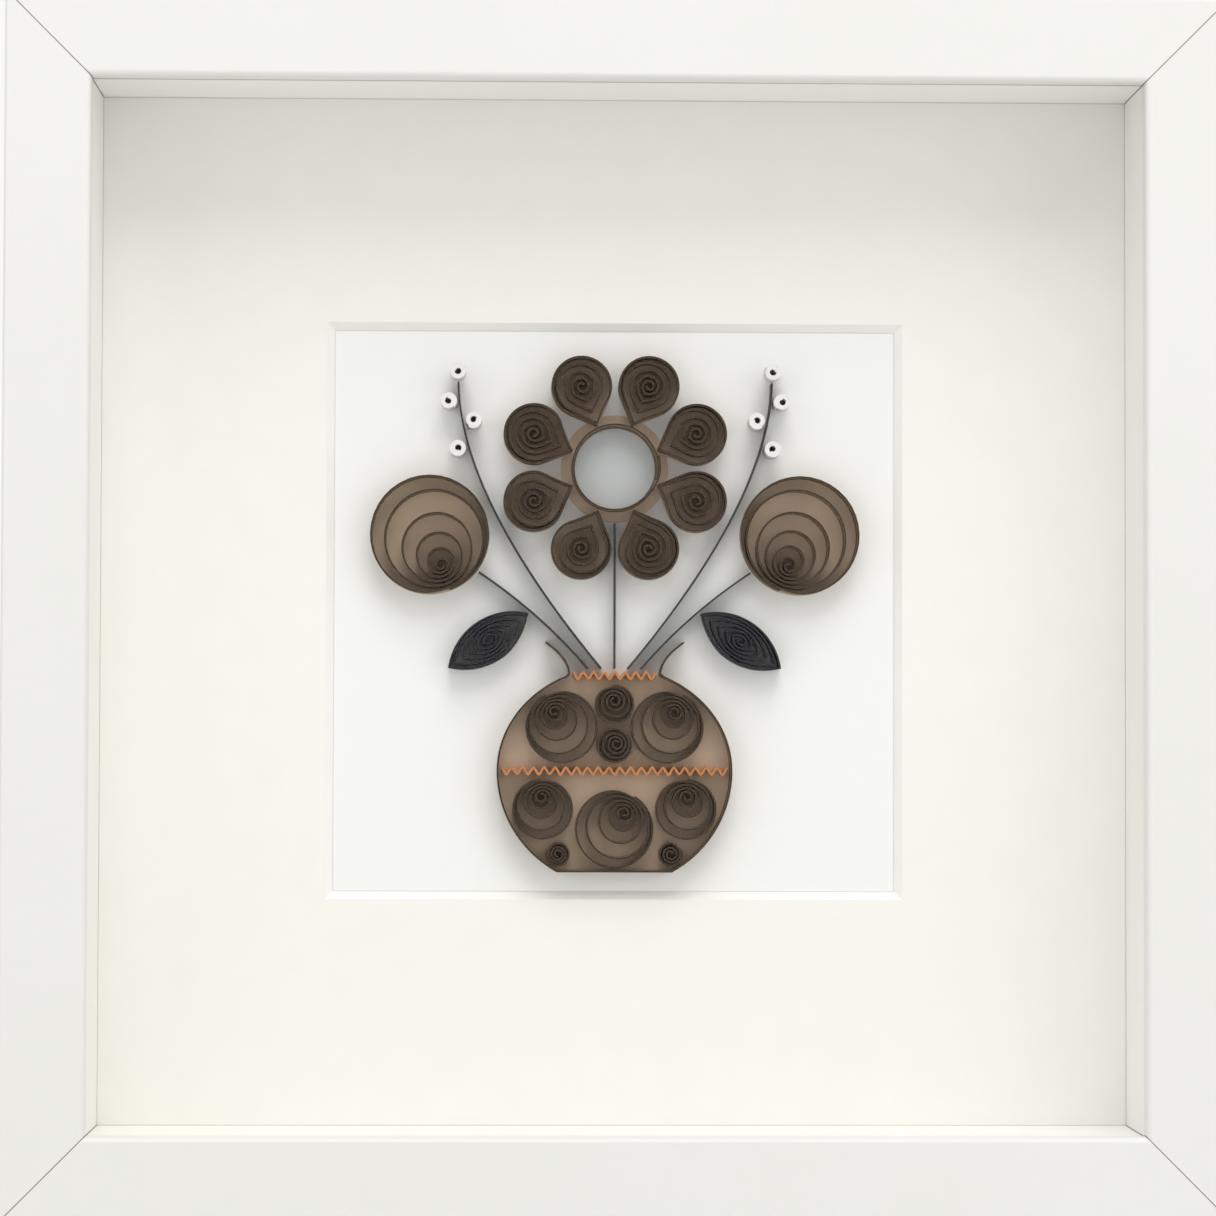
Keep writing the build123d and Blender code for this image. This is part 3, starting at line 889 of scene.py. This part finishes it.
def ring_path():
    """One turn, whose end lies over its start and is glued down there."""
    path = []
    for i in range(ring_steps + lap_steps + 1):
        angle = ring_start + 2 * pi * i / ring_steps
        radius = ring_radius + ring_lap * eased((i - ring_steps + lap_lead) / lap_steps)
        path.append((radius * cos(angle), bloom_v + radius * sin(angle)))
    return path


cut_card("bloom_floor", scallops(), taupe_card)
bend_strip("bloom_ring", ring_path(), brown_strip)
cut_card("bloom_disc", circle(ring_radius - half_strip - glue_gap, 0, bloom_v), pale_card)

# %% [markdown]
# ## Stems, side blooms, leaves and buds
#
# The stems are plain strips on edge, glued down in a bend. Each could be an arc, but a curve from a start
# to an end, pulled towards a third point, gives the springy line of bent paper. The side stems end just
# short of the side blooms, the sprigs pass through the gap between the blooms, and the left side mirrors
# the right.

# %% Stems
def radius_of(node):
    """Half the width of a node's solid."""
    low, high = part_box(node)
    return (high.x - low.x) / 2 / mm


stem_pitch, stem_bow = 2.8, 1.5
sprig_reach, sprig_lift = 33.0, 18.0
neck_v = base_v + neck_level
stem_foot = neck_v + band_half + glue_gap
hands = (("right", False), ("left", True))
side_u, side_v = middle_of("side_floor_right")
side_radius = radius_of("side_floor_right")
bloom_radius = petal_tip + petal_length + half_strip


def part_way(start, end, share):
    return tuple(a + (b - a) * share for a, b in zip(start, end))


def bent(start, control, end, count=24):
    """A curve that leaves its start towards the control point and arrives at its end from there."""
    shares = [i / count for i in range(count + 1)]
    return [part_way(part_way(start, control, t), part_way(control, end, t), t) for t in shares]


def side_stem():
    start = (2 * stem_pitch, stem_foot)
    clear = side_radius + half_strip + glue_gap
    end = part_way((side_u, side_v), (0, neck_v), clear / hypot(side_u, side_v - neck_v))
    u, v = part_way(start, end, 0.5)
    return bent(start, (u - stem_bow, v + stem_bow), end)


def sprig_stem():
    start, end = (stem_pitch, stem_foot), (sprig_reach, bloom_v + sprig_lift)
    far = hypot(side_u, side_v - bloom_v)
    gap_middle = (bloom_radius + far - side_radius) / 2
    through = part_way((0, bloom_v), (side_u, side_v), gap_middle / far)
    return bent(start, part_way(part_way(start, end, 0.5), through, 2), end)


centre_ends = (0, stem_foot), (0, bloom_v - hub_radius - glue_gap)
centre_stem = bent(centre_ends[0], part_way(*centre_ends, 0.5), centre_ends[1])
bend_strip("stem_centre", centre_stem, slate_strip)
for hand, mirror in hands:
    for kind, path in (("side", side_stem()), ("sprig", sprig_stem())):
        bend_strip(f"stem_{kind}_{hand}", placed(path, 0, 0, mirror=mirror), slate_strip)

# %% [markdown]
# A side bloom is one large loose coil on a round card. Its core lies low, so its turns open upwards, as
# in a rose that is about to open. Separate rings would be quicker to make, but one strip keeps the line
# of its turns unbroken.

# %% Side blooms on round cards
side_solid_turns, side_lean, side_turns = 4.0, 250.0, 5.5
for hand, mirror in hands:
    side_line = placed(circle(side_radius, side_u, side_v), 0, 0, mirror=mirror)
    cut_card(f"side_floor_{hand}", side_line, taupe_card)
    coil = round_coil(side_radius, side_solid_turns, side_lean, side_turns - (hand_play if mirror else 0))
    coil = placed(placed(coil, side_u, side_v), 0, 0, mirror=mirror)
    bend_strip(f"side_bloom_{hand}", coil, brown_strip)

# %% [markdown]
# A leaf is a loose coil that is pinched on two sides. It could be cut flat, but rolled paper shows its
# turns, so the rule for coils rolls it too. Its outline is two arcs that meet in the tips.

# %% Leaves
leaf_length, leaf_half, leaf_angle = 20.0, 4.4, -34.0
leaf_turns, leaf_spring = 5, 1.3


def leaf_reach(angle):
    """A leaf's outline, seen from its middle, with its tips at the angles 0 and pi."""
    bow = ((leaf_length / 2) ** 2 + leaf_half**2) / (2 * leaf_half)
    drop = (bow - leaf_half) * abs(sin(angle))
    return sqrt(drop**2 + bow**2 - (bow - leaf_half) ** 2) - drop


leaf_path = placed(rolled(leaf_reach, leaf_turns, pi, leaf_spring), *middle_of("leaf_right"), leaf_angle)
for hand, mirror in hands:
    bend_strip(f"leaf_{hand}", placed(leaf_path, 0, 0, mirror=mirror), black_strip)

# %% [markdown]
# A bud is a strip that stays as tight as it was rolled, with the hole that the needle left. A tube would
# do from far away, but the roll shows the paper's end, and each bud is turned so that the ends differ.

# %% Buds of tightly rolled paper
bud_count, bud_hole, bud_turn = 4, 0.5, 80
bud_radius = radius_of("bud_right_1")
bud_wave = 0.02
glued_end = 1 / 6


def tight_roll(turns=3.4, steps=32):
    """Out from the hole to the bud's radius, which the glued end of the last turn keeps."""
    full = (turns - glued_end) * steps
    path = []
    for i in range(round(turns * steps) + 1):
        angle = 2 * pi * i / steps
        radius = bud_hole + paper / 2 + (bud_radius - bud_hole - paper) * min(1, i / full)
        path.append((radius * cos(angle), radius * sin(angle)))
    return path


for hand, mirror in hands:
    for i in range(bud_count):
        u, v = middle_of(f"bud_right_{i + 1}")
        roll = placed(placed(tight_roll(), u, v, bud_turn * i), 0, 0, mirror=mirror)
        bend_strip(f"bud_{hand}_{i + 1}", roll, white_strip, wave=bud_wave)

# %% [markdown]
# ## Floor, light and camera
#
# The frame stands on a pale floor with hardly any pattern. It could be a box, but a plane is enough,
# because only its top is seen.

# %% Floor
speckle_scale = 900.0

let_go()
bpy.ops.mesh.primitive_plane_add(size=6.0)
ground = bpy.context.object
ground.name = "floor"
finish, tree, shader = new_finish("pale floor")
speckle = between(tree, noise(tree, speckle_scale), 0.3, 0.7)
pale = mixed(tree, speckle, shade(0.81, 0.81, 0.80), shade(0.82, 0.82, 0.81))
tree.links.new(pale, shader.inputs["Base Color"])
shader.inputs["Roughness"].default_value = 0.7
ground.data.materials.append(finish)
print("stage:", ground.name)

# %% [markdown]
# The light is soft: a wide lamp above and in front, which lets the top rail shade the mat a little, a
# weaker lamp on each side, and a pale sky all round. A single bright lamp would light the paper too, but
# its hard shadows would hide the coils. The sky is brighter where the eye meets it, directly or in glass
# and steel, than where it only gives light, so the mirrors stay pale and the paper doesn't burn out.

# %% Sky
sky_light, sky_seen = 0.70, 0.95

world = bpy.data.worlds.new("soft sky")
bpy.context.scene.world = world
world.use_nodes = True
sky = world.node_tree
glow = sky.nodes["Background"]
glow.inputs["Color"].default_value = shade(1.0, 0.995, 0.98)
rays = add(sky, "LightPath").outputs
seen = maths(sky, "MAXIMUM", rays["Is Glossy Ray"], rays["Is Transmission Ray"])
seen = maths(sky, "MULTIPLY", seen, maths(sky, "LESS_THAN", rays["Diffuse Depth"], 0.5))
seen = maths(sky, "MAXIMUM", rays["Is Camera Ray"], seen)
sky.links.new(between(sky, seen, 0.0, 1.0, sky_light, sky_seen), glow.inputs["Strength"])
print("sky:", world.name, sky_light, "as light,", sky_seen, "as seen")

# %% [markdown]
# The lamps are area lamps, because the size of an area lamp sets how soft its shadows are. A point lamp
# would give every strip a hard shadow, which paper behind glass in a bright room doesn't have.

# %% Lamps
lamp_aim = (0.0, 0.0, 0.12)
lamp_colour = (1.0, 0.99, 0.975)


def soft_lamp(name, where, size, watts):
    lamp = bpy.data.objects.new(name, bpy.data.lights.new(name, "AREA"))
    lamp.data.size = size
    lamp.data.energy = watts
    lamp.data.color = lamp_colour
    lamp.location = where
    lamp.rotation_euler = (Vector(lamp_aim) - Vector(where)).to_track_quat("-Z", "Y").to_euler()
    bpy.context.scene.collection.objects.link(lamp)
    print(name, watts, "W")


soft_lamp("lamp on the right", (1.3, -1.3, 0.6), size=0.8, watts=2.9)
soft_lamp("lamp on the left", (-1.3, -1.3, 0.6), size=0.8, watts=1.7)
soft_lamp("lamp above", (0.1, -0.76, 1.29), size=0.9, watts=9.0)

# %% [markdown]
# The camera stands a little left of and below the middle, at arm's length, and looks almost straight at
# the picture. A long lens keeps the frame square and still shows the depth of its walls.

# %% Camera
eye = Vector((-0.02298, -0.83992, 0.09719))
yaw, pitch, roll_angle = radians(-1.4588), radians(1.9152), radians(-0.1542)
camera = bpy.data.objects.new("camera", bpy.data.cameras.new("camera"))
camera.data.sensor_width = 36.0
camera.data.lens = 119.424
level_view = Matrix.Rotation(pi / 2, 4, "X")
turned = Matrix.Rotation(yaw, 4, "Z") @ Matrix.Rotation(pitch, 4, "X") @ Matrix.Rotation(roll_angle, 4, "Y")
camera.matrix_world = Matrix.Translation(eye) @ turned @ level_view
bpy.context.scene.collection.objects.link(camera)
bpy.context.scene.camera = camera
bpy.context.scene.view_settings.view_transform = "Standard"
print("camera", [round(number, 3) for number in eye])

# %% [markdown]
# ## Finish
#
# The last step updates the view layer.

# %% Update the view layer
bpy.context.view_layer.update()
